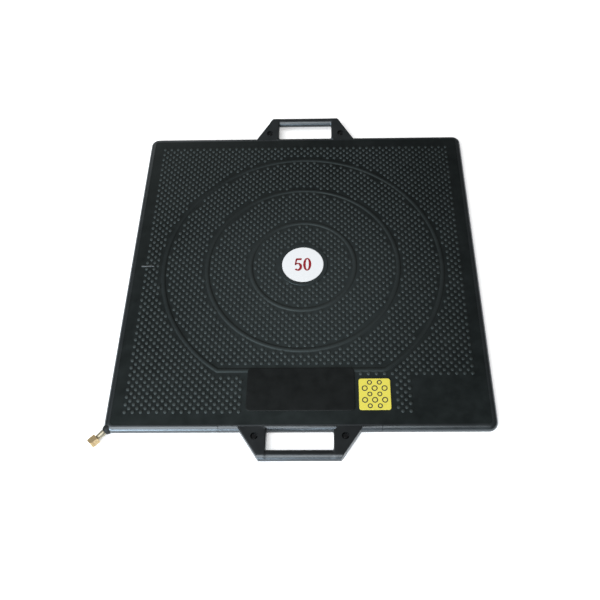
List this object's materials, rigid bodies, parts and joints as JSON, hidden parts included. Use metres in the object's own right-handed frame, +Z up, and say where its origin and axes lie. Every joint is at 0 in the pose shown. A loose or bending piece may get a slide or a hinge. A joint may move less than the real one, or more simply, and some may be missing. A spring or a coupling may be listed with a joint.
{
  "type": "lifting air bag",
  "caption": "Flat square rubber lifting air bag with ring-ribbed faces, a round edge, bolted carry handles front and rear, a marked centre and a swivelling corner air inlet.",
  "frame": {"origin": "centre of the underside's centre pad, on the ground", "axes": "+Y towards the rear handle, +X to the right with the name panel in front, +Z up"},
  "size_m": [0.8304, 0.9214, 0.0357],
  "materials": {
    "cover_rubber": "satin",
    "edge_rubber": "satin",
    "handle_rubber": "semi-gloss",
    "liner_rubber": "matte",
    "aramid_ply": "woven",
    "webbing": "woven",
    "zinc_steel": "zinc plated",
    "brass": "turned",
    "seal_rubber": "matte",
    "white_marker": "satin",
    "yellow_label": "satin"
  },
  "bodies": {
    "base": {"lower_cover": "cover_rubber", "lower_outer_ply": "aramid_ply", "lower_middle_ply": "aramid_ply", "lower_inner_ply": "aramid_ply", "lower_liner": "liner_rubber"},
    "rim": {"edge_band": "edge_rubber", "front_handle": "handle_rubber", "rear_handle": "handle_rubber", "front_left_tab": "webbing", "front_left_bolt": "zinc_steel", "front_left_washer": "zinc_steel", "front_left_sleeve": "zinc_steel", "front_left_nut": "zinc_steel", "front_right_tab": "webbing", "front_right_bolt": "zinc_steel", "front_right_washer": "zinc_steel", "front_right_sleeve": "zinc_steel", "front_right_nut": "zinc_steel", "rear_left_tab": "webbing", "rear_left_bolt": "zinc_steel", "rear_left_washer": "zinc_steel", "rear_left_sleeve": "zinc_steel", "rear_left_nut": "zinc_steel", "rear_right_tab": "webbing", "rear_right_bolt": "zinc_steel", "rear_right_washer": "zinc_steel", "rear_right_sleeve": "zinc_steel", "rear_right_nut": "zinc_steel", "inlet_stem": "brass", "inlet_seal": "seal_rubber"},
    "crown": {"upper_liner": "liner_rubber", "upper_inner_ply": "aramid_ply", "upper_middle_ply": "aramid_ply", "upper_outer_ply": "aramid_ply", "upper_cover": "cover_rubber", "centre_marker": "white_marker", "label_plate": "yellow_label"},
    "hose_nut": {"swivel_nut": "brass", "hose_gasket": "seal_rubber"}
  },
  "joints": [
    {"name": "rim_lift", "type": "slide", "parent": "base", "child": "rim", "axis": [0, 0, 1], "range_m": [0, 0.2]},
    {"name": "crown_lift", "type": "slide", "parent": "rim", "child": "crown", "axis": [0, 0, 1], "range_m": [0, 0.2]},
    {"name": "nut_spin", "type": "hinge", "parent": "rim", "child": "hose_nut", "pos_m": [-0.42313, -0.42313, 0.0125], "axis": [-0.7071, -0.7071, 0], "continuous": true}
  ],
  "couplings": [
    {"joint": "crown_lift", "follows": "rim_lift", "ratio": 1}
  ]
}
